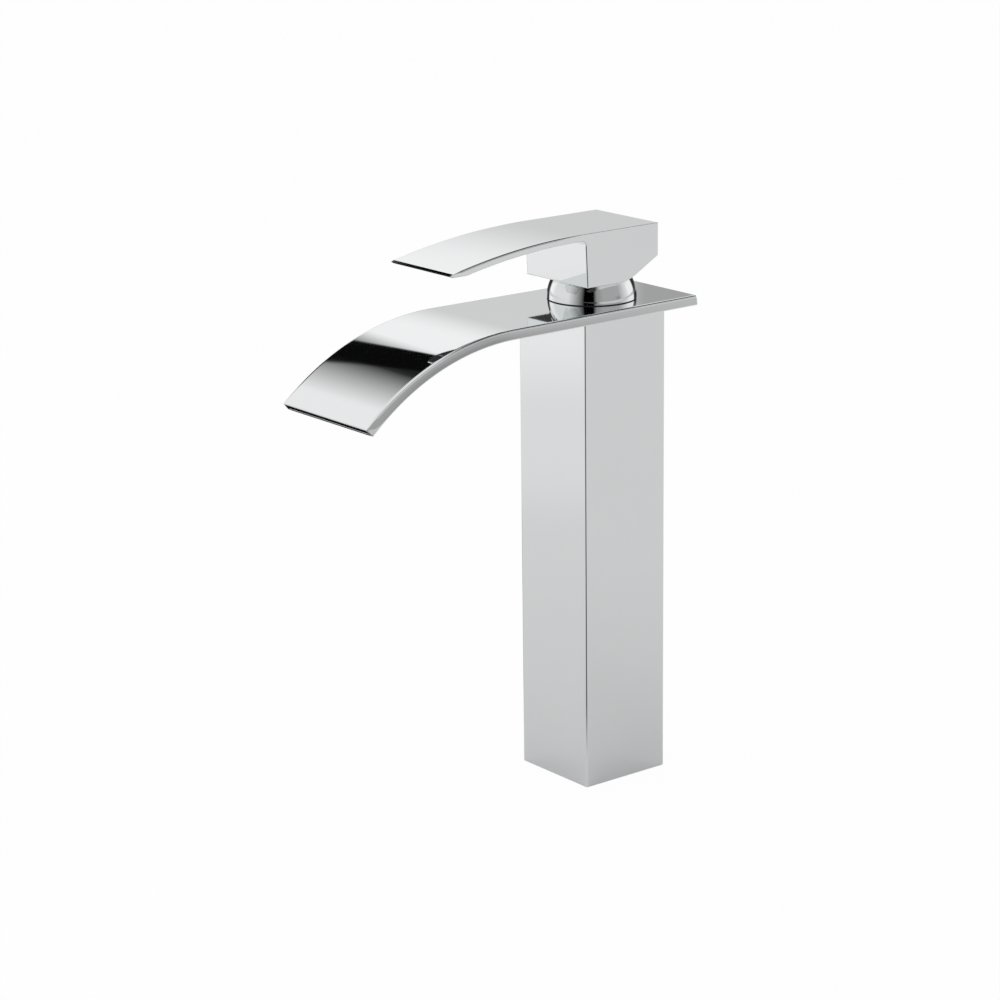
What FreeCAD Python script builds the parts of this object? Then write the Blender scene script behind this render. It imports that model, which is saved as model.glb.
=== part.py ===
import FreeCAD, Part
import math
import os

from FreeCAD import Vector

# Tall single-lever basin mixer with a wide waterfall spout.
# Millimetres and degrees. The origin is the middle of the column's underside and +Z is up.
# The spout and the lever point along -Y. The hot side is -X and the cold side is +X.

# Clearances
cut_overrun = 1.0
insert_gap = 0.1
thread_gap = 0.1
slide_gap = 0.1
pin_gap = 0.05
ball_gap = 0.15
seal_gap = 0.05
solder_gap = 0.05
running_gap = 0.3
water_film = 0.02

# Column, a square brass tube
column_side = 50.0
column_wall = 3.0
column_height = 234.3
column_edge_radius = 0.6

# Base plate closing the foot of the column, with two inlets and one fixing stud
base_thickness = 18.0
inlet_thread_radius = 4.5
inlet_thread_depth = 10.0
inlet_passage_radius = 3.5
stud_thread_radius = 3.4
stud_thread_depth = 11.0
stud_setback = 12.0
gasket_outer_radius = 21.0
gasket_width = 2.4
gasket_thickness = 2.0
gasket_recess = 0.05

# Supply tubes from the base plate up to the valve body
tube_radius = 5.0
tube_wall = 1.0
tube_socket_depth = 6.0
tube_end_gap = 0.3
tube_seal_radius = 0.7
port_offset = 8.5
port_forward = 7.0

# Valve body, a brass casting with the cartridge cup
valve_floor = 14.0
cup_wall = 1.2
cup_thread_step = 0.8
cup_thread_relief = 1.0
cup_thread_length = 3.5
riser_radius = 2.2
riser_land = 0.3
gallery_drop = 7.0

# Spout, a hollow plate that lies on the column and bends down to a wide lip
spout_thickness = 4.7
spout_skin = 1.4
spout_floor_skin = 1.4
spout_side_wall = 2.5
spout_cup_wall = 2.5
spout_back_reach = 40.8
spout_back_width = 62.2
spout_lip_width = 67.4
spout_flat_reach = 72.8
spout_bend_radius = 127.4
spout_bend_angle = 42.3
spout_chamber_margin = 1.5
overrun_angle = 3.0

# Ceramic disc cartridge of the 35 mm size
cartridge_radius = 17.4
cartridge_base_thickness = 5.0
cartridge_base_flange = 2.0
cartridge_housing_wall = 1.7
cartridge_housing_roof = 3.0
inlet_port_radius = 2.4
outlet_port_radius = 3.2
outlet_setback = 5.5
disc_thickness = 3.5
moving_disc_radius = 12.0
mixing_pocket_depth = 1.6
mixing_pocket_width = 18.0
mixing_pocket_length = 11.5
mixing_pocket_shift = 0.15
carrier_inset = 0.5
carrier_floor = 1.0
carrier_lip = 1.0
carrier_peg_radius = 1.2
carrier_peg_length = 1.0
carrier_peg_offset = 6.0
guide_rib_offset = 8.0
guide_rib_width = 2.0
guide_rib_length = 10.0
guide_rib_height = 1.8
rotor_boss_radius = 12.5
rotor_boss_rise = 7.0
rotor_flange_thickness = 5.6
rotor_seal_radius = 0.5
slot_overlap = 1.5
nut_height = 5.0
nut_ring_width = 5.2
nut_notch_width = 3.0
nut_notch_depth = 2.0
nut_notch_count = 4
port_seal_radius = 0.6

# Lever stem with its ball and pin
stem_side = 7.0
stem_arm = 11.0
stem_square_drop = 6.0
stem_neck_radius = 2.2
stem_ball_radius = 2.8
stem_cover = 5.0
stem_stop_gap = 0.2
stem_top_gap = 0.5
stem_pin_radius = 2.0
stem_pin_inset = 0.7
lift_angle = 20.0

# Dome cover over the cartridge
dome_wall = 1.95
dome_crown_wall = 1.5
dome_skirt_height = 2.5
dome_seal_radius = 0.4
dome_seal_inset = 1.1

# Handle, a block over the dome with a thin arched lever
handle_width = 46.0
handle_rise = 36.9
handle_underside_rise = 10.7
handle_back_reach = 22.3
handle_front_reach = 22.6
handle_front_undercut = 1.1
handle_back_rise = 21.0
handle_heel_reach = 3.6
handle_heel_radius = 20.0
handle_dome_gap = 0.55
lever_flat_reach = 25.0
lever_bend_radius = 335.0
lever_bend_angle = 13.4
lever_thickness = 3.3
lever_tip_thickness = 1.5
lever_tip_bevel_angle = 1.6
lever_root_radius = 2.0

# Set screw and the plug that hides it in the back of the handle
screw_radius = 2.5
screw_length = 10.0
screw_rise = 28.0
screw_socket_radius = 1.25
screw_socket_depth = 3.0
screw_socket_sides = 6
plug_radius = 4.0
plug_head = 2.4
plug_stem_length = 3.0

# Heights and radii that follow from the sizes above
column_inside = column_side - 2 * column_wall
insert_side = column_inside - 2 * insert_gap
cup_bore_radius = cartridge_radius + running_gap
cup_thread_radius = cup_bore_radius + cup_thread_step
cup_outer_radius = cup_thread_radius + cup_wall
cup_hole_radius = cup_outer_radius + running_gap
chamber_ring_radius = cup_hole_radius + spout_cup_wall
diagonal_share = math.sqrt(0.5)
riser_place = (chamber_ring_radius + riser_land + riser_radius) * diagonal_share
dome_skirt_radius = cup_outer_radius + thread_gap
dome_radius = dome_skirt_radius + dome_wall
spout_top_z = column_height + spout_thickness
pivot_z = spout_top_z
ball_z = pivot_z - stem_arm
pocket_floor_z = ball_z - stem_ball_radius - stem_stop_gap
carrier_bottom_z = pocket_floor_z - carrier_floor
carrier_top_z = ball_z + carrier_lip
moving_disc_z = carrier_bottom_z - disc_thickness
fixed_disc_top_z = moving_disc_z - water_film
fixed_disc_z = fixed_disc_top_z - disc_thickness
cup_floor_z = fixed_disc_z - cartridge_base_thickness
housing_bottom_z = cup_floor_z + cartridge_base_flange
rotor_bottom_z = carrier_top_z + slide_gap
rotor_shoulder_z = rotor_bottom_z + rotor_flange_thickness
housing_roof_z = rotor_shoulder_z + running_gap
housing_top_z = housing_roof_z + cartridge_housing_roof
rotor_top_z = pivot_z + rotor_boss_rise
cup_top_z = housing_top_z + cup_thread_length
valve_bottom_z = cup_floor_z - valve_floor
gallery_z = cup_floor_z - gallery_drop
tube_foot_z = base_thickness - tube_socket_depth
tube_head_z = valve_bottom_z + tube_socket_depth
housing_bore_radius = cartridge_radius - cartridge_housing_wall
lift_tilt = math.radians(lift_angle)
disc_travel = stem_arm * math.sin(lift_tilt)
disc_rest_y = disc_travel / 2
stem_half = stem_side / 2
stem_tilted_half = stem_half / math.cos(lift_tilt)
stem_dome_reach = dome_radius * math.sin(lift_tilt) + stem_tilted_half
dome_opening_radius = math.hypot(stem_dome_reach, stem_half) + running_gap
handle_top_z = pivot_z + handle_rise
handle_bottom_z = pivot_z + handle_underside_rise
handle_back_z = pivot_z + handle_back_rise
stem_top_z = handle_top_z - stem_cover
screw_z = pivot_z + screw_rise
spout_lip_y = -spout_flat_reach - spout_bend_radius * math.sin(math.radians(spout_bend_angle))
chamber_back_y = riser_radius + spout_chamber_margin - riser_place

# Places of the ports in plan, shared by every piece that the water passes through
inlet_places = [(-port_offset, -port_forward), (port_offset, -port_forward)]
outlet_place = (0, outlet_setback)
port_places = inlet_places + [outlet_place]
port_radii = [inlet_port_radius, inlet_port_radius, outlet_port_radius]
riser_places = [(-riser_place, -riser_place), (riser_place, -riser_place)]


def pillar(radius, low, high, place=(0, 0)):
    """Upright cylinder between two heights."""
    return Part.makeCylinder(radius, high - low, Vector(place[0], place[1], low))


def ring(outer, inner, low, high, place=(0, 0)):
    """Upright tube between two heights."""
    bore = pillar(inner, low - cut_overrun, high + cut_overrun, place)
    return pillar(outer, low, high, place).cut(bore)


def bar(radius, start, end):
    """Round bar between two points."""
    run = end - start
    return Part.makeCylinder(radius, run.Length, start, run)


def slab(width, back, front, low, high, middle=0):
    """Block between two depths and two heights, its width shared about a middle."""
    corner = Vector(middle - width / 2, front, low)
    return Part.makeBox(width, back - front, high - low, corner)


def post(side, low, high):
    """Square block on the column's axis."""
    return slab(side, side / 2, -side / 2, low, high)


def o_ring(middle_radius, section_radius, middle_z, place=(0, 0)):
    """Rubber ring lying flat."""
    return Part.makeTorus(middle_radius, section_radius, Vector(place[0], place[1], middle_z))


def joined(shapes):
    """One solid from touching shapes."""
    return shapes[0].fuse(shapes[1:]).removeSplitter()


def side_point(y, z):
    """Point of a side outline."""
    return Vector(0, y, z)


def turned_point(centre, radius, angle):
    """Point on a circle seen from the side, its angle taken from the top towards the front."""
    turn = math.radians(angle)
    return centre + side_point(-radius * math.sin(turn), radius * math.cos(turn))


def arc_edge(centre, radius, first_angle, last_angle):
    """Arc of a side outline."""
    angles = (first_angle, (first_angle + last_angle) / 2, last_angle)
    points = [turned_point(centre, radius, angle) for angle in angles]
    return Part.Arc(*points).toShape()


def line_edge(start, end):
    """Straight edge of an outline."""
    return Part.LineSegment(start, end).toShape()


def corner_arc(before, corner, after, radius):
    """Arc rounding a corner, with the points where it leaves the two sides."""
    back = (before - corner).normalize()
    on = (after - corner).normalize()
    half = back.getAngle(on) / 2
    reach = radius / math.tan(half)
    middle_way = (back + on).normalize()
    nearest = corner + middle_way * (radius / math.sin(half) - radius)
    start = corner + back * reach
    end = corner + on * reach
    return start, end, Part.Arc(start, nearest, end).toShape()


def drawn_across(edges, width):
    """Solid of a side outline, its width shared about the middle."""
    face = Part.Face(Part.Wire(edges))
    face.translate(Vector(-width / 2, 0, 0))
    return face.extrude(Vector(width, 0, 0))


def make_column():
    """Square tube with slightly rounded upright edges."""
    outside = post(column_side, 0, column_height)
    upright = []
    for edge in outside.Edges:
        ends = [vertex.Point.z for vertex in edge.Vertexes]
        if abs(ends[0] - ends[1]) > column_side:
            upright.append(edge)
    outside = outside.makeFillet(column_edge_radius, upright)
    return outside.cut(post(column_inside, -cut_overrun, column_height + cut_overrun))


def tube_seal_heights():
    """Heights of the tube seals, halfway down each socket."""
    return (base_thickness - tube_socket_depth / 2, valve_bottom_z + tube_socket_depth / 2)


def tube_sockets(low, high, seal_z):
    """Cuts for the two tube ends and for the rubber rings round them."""
    cuts = []
    for place in inlet_places:
        cuts.append(pillar(tube_radius + insert_gap, low, high, place))
        groove_radius = tube_radius + 2 * tube_seal_radius + 2 * seal_gap
        half = tube_seal_radius + seal_gap
        cuts.append(pillar(groove_radius, seal_z - half, seal_z + half, place))
    return cuts


def make_base_plate():
    """Plate in the foot of the column, with inlet threads, stud thread and gasket groove."""
    plate = post(insert_side, 0, base_thickness)
    cuts = tube_sockets(tube_foot_z, base_thickness + cut_overrun, tube_seal_heights()[0])
    for place in inlet_places:
        cuts.append(pillar(inlet_thread_radius, -cut_overrun, inlet_thread_depth, place))
        cuts.append(pillar(inlet_passage_radius, 0, tube_foot_z + cut_overrun, place))
    cuts.append(pillar(stud_thread_radius, -cut_overrun, stud_thread_depth, (0, stud_setback)))
    groove_outer = gasket_outer_radius + seal_gap
    groove_inner = gasket_outer_radius - gasket_width - seal_gap
    cuts.append(ring(groove_outer, groove_inner, -cut_overrun, gasket_recess + gasket_thickness))
    return plate.cut(cuts)


def make_deck_gasket():
    """Flat rubber ring in the underside of the base plate."""
    inner = gasket_outer_radius - gasket_width
    return ring(gasket_outer_radius, inner, gasket_recess, gasket_recess + gasket_thickness)


def make_supply_tube(place):
    """Straight copper tube from the base plate to the valve body."""
    low = tube_foot_z + tube_end_gap
    high = tube_head_z - tube_end_gap
    return ring(tube_radius, tube_radius - tube_wall, low, high, place)


def make_supply_tube_seals():
    """Rubber rings at both ends of both supply tubes."""
    middle = tube_radius + tube_seal_radius + seal_gap
    rings = []
    for place in inlet_places:
        for height in tube_seal_heights():
            rings.append(o_ring(middle, tube_seal_radius, height, place))
    return Part.makeCompound(rings)


def riser_seal_middle():
    """Middle radius of the rubber rings round the risers."""
    return riser_radius + port_seal_radius + seal_gap


def make_valve_body():
    """Casting that holds the cartridge and leads the mixed water up to the spout."""
    body = joined([
        post(insert_side, valve_bottom_z, column_height),
        pillar(cup_outer_radius, cup_floor_z, cup_top_z),
    ])
    cuts = tube_sockets(valve_bottom_z - cut_overrun, tube_head_z, tube_seal_heights()[1])
    cuts.append(pillar(cup_bore_radius, cup_floor_z, cup_top_z + cut_overrun))
    cuts.append(pillar(cup_thread_radius, housing_top_z - cup_thread_relief, cup_top_z + cut_overrun))
    for place in inlet_places:
        cuts.append(pillar(inlet_port_radius, valve_bottom_z, cup_floor_z + cut_overrun, place))
    cuts.append(pillar(outlet_port_radius, gallery_z, cup_floor_z + cut_overrun, outlet_place))
    left = Vector(-riser_place, outlet_setback, gallery_z)
    right = Vector(riser_place, outlet_setback, gallery_z)
    cuts.append(bar(riser_radius, left, right))
    groove_outer = riser_seal_middle() + port_seal_radius + seal_gap
    groove_depth = 2 * port_seal_radius + seal_gap
    for place in riser_places:
        back = Vector(place[0], outlet_setback, gallery_z)
        cuts.append(bar(riser_radius, back, Vector(place[0], place[1], gallery_z)))
        cuts.append(Part.makeSphere(riser_radius, back))
        cuts.append(Part.makeSphere(riser_radius, Vector(place[0], place[1], gallery_z)))
        cuts.append(pillar(riser_radius, gallery_z, column_height + cut_overrun, place))
        cuts.append(pillar(groove_outer, column_height - groove_depth, column_height + cut_overrun, place))
    return body.cut(cuts)


def make_spout_inlet_seals():
    """Rubber rings between the risers and the spout."""
    middle_z = column_height - port_seal_radius - seal_gap / 2
    middle = riser_seal_middle()
    return Part.makeCompound([o_ring(middle, port_seal_radius, middle_z, place) for place in riser_places])


def spout_half_width(y):
    """Half the spout's width in plan, which grows steadily from the back edge to the lip."""
    along_share = (spout_back_reach - y) / (spout_back_reach - spout_lip_y)
    return (spout_back_width + (spout_lip_width - spout_back_width) * along_share) / 2


def spout_plan(inset, back_y):
    """Upright prism over the spout's plan, set in from its sides and starting at a depth."""
    front_y = spout_lip_y - spout_lip_width
    back_half = spout_half_width(back_y) - inset
    front_half = spout_half_width(front_y) - inset
    corners = [
        Vector(-back_half, back_y, 0),
        Vector(back_half, back_y, 0),
        Vector(front_half, front_y, 0),
        Vector(-front_half, front_y, 0),
    ]
    face = Part.Face(Part.makePolygon(corners + corners[:1]))
    return face.extrude(Vector(0, 0, spout_top_z + cut_overrun))


def spout_layer(upper, lower, back_y, angle):
    """Layer of the spout's side outline between two depths under its top face."""
    centre = side_point(-spout_flat_reach, spout_top_z - spout_bend_radius)
    outer = spout_bend_radius - upper
    inner = spout_bend_radius - lower
    back_top = side_point(back_y, spout_top_z - upper)
    back_low = side_point(back_y, spout_top_z - lower)
    edges = [
        line_edge(back_top, turned_point(centre, outer, 0)),
        arc_edge(centre, outer, 0, angle),
        line_edge(turned_point(centre, outer, angle), turned_point(centre, inner, angle)),
        arc_edge(centre, inner, angle, 0),
        line_edge(turned_point(centre, inner, 0), back_low),
        line_edge(back_low, back_top),
    ]
    return drawn_across(edges, 2 * spout_lip_width)


def make_spout_shell():
    """Top and sides of the spout, solid over the column and hollow from the cup to the lip."""
    whole = spout_layer(0, spout_thickness, spout_back_reach, spout_bend_angle)
    whole = whole.common(spout_plan(0, spout_back_reach))
    chamber = spout_layer(
        spout_skin, spout_thickness + cut_overrun, chamber_back_y, spout_bend_angle + overrun_angle)
    chamber = chamber.common(spout_plan(spout_side_wall, chamber_back_y))
    low = column_height - cut_overrun
    high = spout_top_z + cut_overrun
    chamber = chamber.cut(pillar(chamber_ring_radius, low - cut_overrun, high))
    return whole.cut([chamber, pillar(cup_hole_radius, low, high)])


def make_spout_floor():
    """Inset underside of the spout, soldered between the side walls."""
    back_y = chamber_back_y - solder_gap
    floor = spout_layer(spout_thickness - spout_floor_skin, spout_thickness, back_y, spout_bend_angle)
    floor = floor.common(spout_plan(spout_side_wall + solder_gap, back_y))
    low = column_height - cut_overrun
    high = spout_top_z
    cuts = [pillar(chamber_ring_radius + solder_gap, low, high)]
    cuts.extend(pillar(riser_radius, low, high, place) for place in riser_places)
    return floor.cut(cuts)


def port_grooves(low, high):
    """Grooves for the rubber rings round the three ports."""
    grooves = []
    for place, radius in zip(port_places, port_radii):
        outer = radius + 2 * port_seal_radius + 2 * seal_gap
        grooves.append(pillar(outer, low, high, place))
    return grooves


def port_rings(middle_z):
    """Rubber rings round the three ports."""
    rings = []
    for place, radius in zip(port_places, port_radii):
        middle = radius + port_seal_radius + seal_gap
        rings.append(o_ring(middle, port_seal_radius, middle_z, place))
    return Part.makeCompound(rings)


def port_bores(low, high):
    """Bores of the three ports."""
    return [pillar(radius, low, high, place) for place, radius in zip(port_places, port_radii)]


def make_cartridge_base():
    """Plastic foot of the cartridge, with the ports and a groove round each on both faces."""
    foot = joined([
        pillar(cartridge_radius, cup_floor_z, housing_bottom_z),
        pillar(housing_bore_radius - slide_gap, cup_floor_z, fixed_disc_z),
    ])
    depth = 2 * port_seal_radius + seal_gap
    cuts = port_bores(cup_floor_z - cut_overrun, fixed_disc_z + cut_overrun)
    cuts.extend(port_grooves(cup_floor_z - cut_overrun, cup_floor_z + depth))
    cuts.extend(port_grooves(fixed_disc_z - depth, fixed_disc_z + cut_overrun))
    return foot.cut(cuts)


def make_cup_floor_seals():
    """Rubber rings under the cartridge."""
    return port_rings(cup_floor_z + port_seal_radius + seal_gap / 2)


def make_disc_seals():
    """Rubber rings under the fixed disc."""
    return port_rings(fixed_disc_z - port_seal_radius - seal_gap / 2)


def make_fixed_disc():
    """Ceramic disc with the three ports."""
    disc = pillar(housing_bore_radius - running_gap, fixed_disc_z, fixed_disc_top_z)
    return disc.cut(port_bores(fixed_disc_z - cut_overrun, fixed_disc_top_z + cut_overrun))


def peg_places():
    """Places of the two pegs that carry the moving disc along."""
    return [(side * carrier_peg_offset, disc_rest_y) for side in (-1, 1)]


def make_moving_disc():
    """Ceramic disc whose underside pocket bridges the ports as it slides and turns."""
    disc = pillar(moving_disc_radius, moving_disc_z, carrier_bottom_z, (0, disc_rest_y))
    middle = disc_rest_y + mixing_pocket_shift
    back = middle + mixing_pocket_length / 2
    front = middle - mixing_pocket_length / 2
    low = moving_disc_z - cut_overrun
    cuts = [slab(mixing_pocket_width, back, front, low, moving_disc_z + mixing_pocket_depth)]
    for place in peg_places():
        low = carrier_bottom_z - carrier_peg_length - slide_gap
        cuts.append(pillar(carrier_peg_radius + slide_gap, low, carrier_bottom_z + cut_overrun, place))
    return disc.cut(cuts)


def guide_ribs(extra_width, back, front, top):
    """Two straight ribs along the sliding direction."""
    ribs = []
    for side in (-1, 1):
        width = guide_rib_width + 2 * extra_width
        ribs.append(slab(width, back, front, carrier_top_z, top, side * guide_rib_offset))
    return ribs


def make_disc_carrier():
    """Slide on the moving disc, with a pocket for the stem's ball and ribs that guide it."""
    radius = moving_disc_radius - carrier_inset
    pieces = [pillar(radius, carrier_bottom_z, carrier_top_z, (0, disc_rest_y))]
    back = disc_rest_y + guide_rib_length / 2
    pieces.extend(guide_ribs(0, back, back - guide_rib_length, carrier_top_z + guide_rib_height))
    for place in peg_places():
        low = carrier_bottom_z - carrier_peg_length
        pieces.append(pillar(carrier_peg_radius, low, carrier_bottom_z, place))
    pocket = pillar(stem_ball_radius + ball_gap, pocket_floor_z, carrier_top_z + cut_overrun)
    return joined(pieces).cut(pocket)


def make_cartridge_housing():
    """Plastic can over the discs, open below and round the rotor."""
    can = pillar(cartridge_radius, housing_bottom_z, housing_top_z)
    bore = pillar(housing_bore_radius, housing_bottom_z - cut_overrun, housing_roof_z)
    opening_radius = rotor_boss_radius + running_gap
    opening = pillar(opening_radius, housing_roof_z - cut_overrun, housing_top_z + cut_overrun)
    return can.cut([bore, opening])


def rotor_seal_z():
    """Height of the rotor's seal, low in the opening of the housing."""
    return housing_roof_z + cartridge_housing_roof / 2 - rotor_seal_radius


def make_stem_rotor():
    """Turning part of the cartridge, slotted for the stem and grooved for the slide."""
    flange_radius = housing_bore_radius - running_gap
    rotor = joined([
        pillar(flange_radius, rotor_bottom_z, rotor_shoulder_z),
        pillar(rotor_boss_radius, rotor_bottom_z, rotor_top_z),
    ])
    slot_width = stem_side + 2 * stem_stop_gap
    near = stem_half + stem_stop_gap
    far = stem_tilted_half + stem_stop_gap
    upper_far = far + rotor_boss_rise * math.tan(lift_tilt)
    lower_far = far + (pivot_z - rotor_bottom_z) * math.tan(lift_tilt)
    cuts = [
        slab(slot_width, upper_far, -near, pivot_z - slot_overlap, rotor_top_z + cut_overrun),
        slab(slot_width, near, -lower_far, rotor_bottom_z - cut_overrun, pivot_z + slot_overlap),
        pin_bar(stem_pin_radius + insert_gap / 2, rotor_boss_radius + cut_overrun),
    ]
    reach = flange_radius + cut_overrun
    cuts.extend(guide_ribs(slide_gap, reach, -reach, carrier_top_z + guide_rib_height + slide_gap))
    half_height = rotor_seal_radius + seal_gap
    groove_floor = rotor_boss_radius - 2 * half_height + running_gap
    low = rotor_seal_z() - half_height
    cuts.append(ring(rotor_boss_radius + cut_overrun, groove_floor, low, low + 2 * half_height))
    return rotor.cut(cuts)


def make_rotor_seal():
    """Rubber ring round the rotor in the opening of the housing."""
    middle = rotor_boss_radius + running_gap - 2 * seal_gap - rotor_seal_radius
    return o_ring(middle, rotor_seal_radius, rotor_seal_z())


def pin_bar(radius, half_length):
    """Bar along the axis that the lever lifts about."""
    return bar(radius, Vector(-half_length, 0, pivot_z), Vector(half_length, 0, pivot_z))


def make_stem_pin():
    """Steel pin that the stem lifts about."""
    return pin_bar(stem_pin_radius, rotor_boss_radius - stem_pin_inset)


def make_lever_stem():
    """Square stem with a ball at its foot that moves the slide."""
    shoulder_z = pivot_z - stem_square_drop
    stem = joined([
        post(stem_side, shoulder_z, stem_top_z),
        pillar(stem_neck_radius, ball_z, shoulder_z),
        Part.makeSphere(stem_ball_radius, Vector(0, 0, ball_z)),
    ])
    return stem.cut(pin_bar(stem_pin_radius + pin_gap, stem_side))


def make_cartridge_nut():
    """Brass ring that screws into the cup and holds the cartridge down, notched for a spanner."""
    outer = cup_thread_radius - thread_gap
    high = housing_top_z + nut_height
    nut = ring(outer, outer - nut_ring_width, housing_top_z, high)
    notches = []
    for number in range(nut_notch_count):
        notch = slab(nut_notch_width, outer + cut_overrun, 0, high - nut_notch_depth, high + cut_overrun)
        notch.rotate(Vector(0, 0, 0), Vector(0, 0, 1), 360 * number / nut_notch_count)
        notches.append(notch)
    return nut.cut(notches)


def make_dome_cover():
    """Round cover screwed onto the cup and seated on the spout, open at the top for the stem."""
    centre = Vector(0, 0, pivot_z)
    skirt_top_z = pivot_z + dome_skirt_height
    tall = pivot_z + 2 * dome_radius
    ball = Part.makeSphere(dome_radius, centre)
    dome = ball.common(pillar(2 * dome_radius, pivot_z, tall))
    hollow = Part.makeSphere(dome_radius - dome_crown_wall, centre)
    hollow = hollow.common(pillar(2 * dome_radius, skirt_top_z, tall))
    seal_groove = ring(
        dome_radius - dome_seal_inset + dome_seal_radius + seal_gap,
        dome_radius - dome_seal_inset - dome_seal_radius - seal_gap,
        pivot_z - cut_overrun, pivot_z + 2 * dome_seal_radius + seal_gap)
    return dome.cut([
        hollow,
        pillar(dome_skirt_radius, pivot_z - cut_overrun, skirt_top_z),
        pillar(dome_opening_radius, pivot_z, tall),
        seal_groove,
    ])


def make_dome_seal():
    """Rubber ring between the dome cover and the spout."""
    middle_z = pivot_z + dome_seal_radius + seal_gap / 2
    return o_ring(dome_radius - dome_seal_inset, dome_seal_radius, middle_z)


def handle_outline():
    """Side outline of the handle block and its lever."""
    centre = side_point(-lever_flat_reach, handle_top_z - lever_bend_radius)
    under = lever_bend_radius - lever_thickness
    bevel_start = lever_bend_angle - lever_tip_bevel_angle
    back_top = side_point(handle_back_reach, handle_top_z)
    tip_top = turned_point(centre, lever_bend_radius, lever_bend_angle)
    tip_low = turned_point(centre, lever_bend_radius - lever_tip_thickness, lever_bend_angle)
    under_front = turned_point(centre, under, bevel_start)
    under_back = turned_point(centre, under, 0)
    front_top = side_point(-handle_front_reach, handle_top_z - lever_thickness)
    front_low = side_point(handle_front_undercut - handle_front_reach, handle_bottom_z)
    heel = side_point(handle_heel_reach, handle_bottom_z)
    back_low = side_point(handle_back_reach, handle_back_z)
    root_start, root_end, root_arc = corner_arc(under_back, front_top, front_low, lever_root_radius)
    heel_start, heel_end, heel_arc = corner_arc(front_low, heel, back_low, handle_heel_radius)
    return [
        line_edge(back_top, turned_point(centre, lever_bend_radius, 0)),
        arc_edge(centre, lever_bend_radius, 0, lever_bend_angle),
        line_edge(tip_top, tip_low),
        line_edge(tip_low, under_front),
        arc_edge(centre, under, bevel_start, 0),
        line_edge(under_back, root_start),
        root_arc,
        line_edge(root_end, front_low),
        line_edge(front_low, heel_start),
        heel_arc,
        line_edge(heel_end, back_low),
        line_edge(back_low, back_top),
    ]


def make_handle():
    """Block and lever in one casting, hollowed over the dome, with the stem's socket."""
    block = drawn_across(handle_outline(), handle_width)
    back = handle_back_reach + cut_overrun
    return block.cut([
        Part.makeSphere(dome_radius + handle_dome_gap, Vector(0, 0, pivot_z)),
        post(stem_side + 2 * insert_gap, pivot_z, stem_top_z + stem_top_gap),
        bar(screw_radius + thread_gap, Vector(0, 0, screw_z), Vector(0, back, screw_z)),
        bar(plug_radius + insert_gap, Vector(0, handle_back_reach - plug_head - insert_gap, screw_z),
            Vector(0, back, screw_z)),
    ])


def make_handle_set_screw():
    """Headless screw that clamps the handle on its stem, with a hexagon socket."""
    start = stem_half + insert_gap / 2
    end = start + screw_length
    screw = bar(screw_radius, Vector(0, start, screw_z), Vector(0, end, screw_z))
    corners = []
    for number in range(screw_socket_sides + 1):
        turn = math.radians(360 * number / screw_socket_sides)
        offset = Vector(math.cos(turn), 0, math.sin(turn)) * screw_socket_radius
        corners.append(Vector(0, end - screw_socket_depth, screw_z) + offset)
    face = Part.Face(Part.makePolygon(corners))
    return screw.cut(face.extrude(Vector(0, screw_socket_depth + cut_overrun, 0)))


def make_index_plug():
    """Plug that hides the set screw, flush with the back of the handle."""
    seat = handle_back_reach - plug_head
    head = bar(plug_radius, Vector(0, seat, screw_z), Vector(0, handle_back_reach, screw_z))
    stem = bar(screw_radius, Vector(0, seat - plug_stem_length, screw_z), Vector(0, seat, screw_z))
    return joined([head, stem])


makers = {
    "column": make_column,
    "base_plate": make_base_plate,
    "deck_gasket": make_deck_gasket,
    "hot_supply_tube": lambda: make_supply_tube(inlet_places[0]),
    "cold_supply_tube": lambda: make_supply_tube(inlet_places[1]),
    "supply_tube_seals": make_supply_tube_seals,
    "valve_body": make_valve_body,
    "spout_inlet_seals": make_spout_inlet_seals,
    "spout_shell": make_spout_shell,
    "spout_floor": make_spout_floor,
    "cartridge_base": make_cartridge_base,
    "cup_floor_seals": make_cup_floor_seals,
    "disc_seals": make_disc_seals,
    "fixed_disc": make_fixed_disc,
    "moving_disc": make_moving_disc,
    "disc_carrier": make_disc_carrier,
    "cartridge_housing": make_cartridge_housing,
    "stem_rotor": make_stem_rotor,
    "rotor_seal": make_rotor_seal,
    "stem_pin": make_stem_pin,
    "lever_stem": make_lever_stem,
    "cartridge_nut": make_cartridge_nut,
    "dome_cover": make_dome_cover,
    "dome_seal": make_dome_seal,
    "handle": make_handle,
    "handle_set_screw": make_handle_set_screw,
    "index_plug": make_index_plug,
}

os.makedirs("parts", exist_ok=True)
for name, maker in makers.items():
    shape = maker()
    shape.exportStep("parts/" + name + ".step")
    print(name, len(shape.Solids), "solids", shape.isValid(), round(shape.Volume), "mm3")
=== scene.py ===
import logging
import math
from collections.abc import Callable
from dataclasses import dataclass, replace
from enum import Enum
from functools import cache

import bmesh
import bpy
from mathutils import Matrix, Vector


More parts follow.
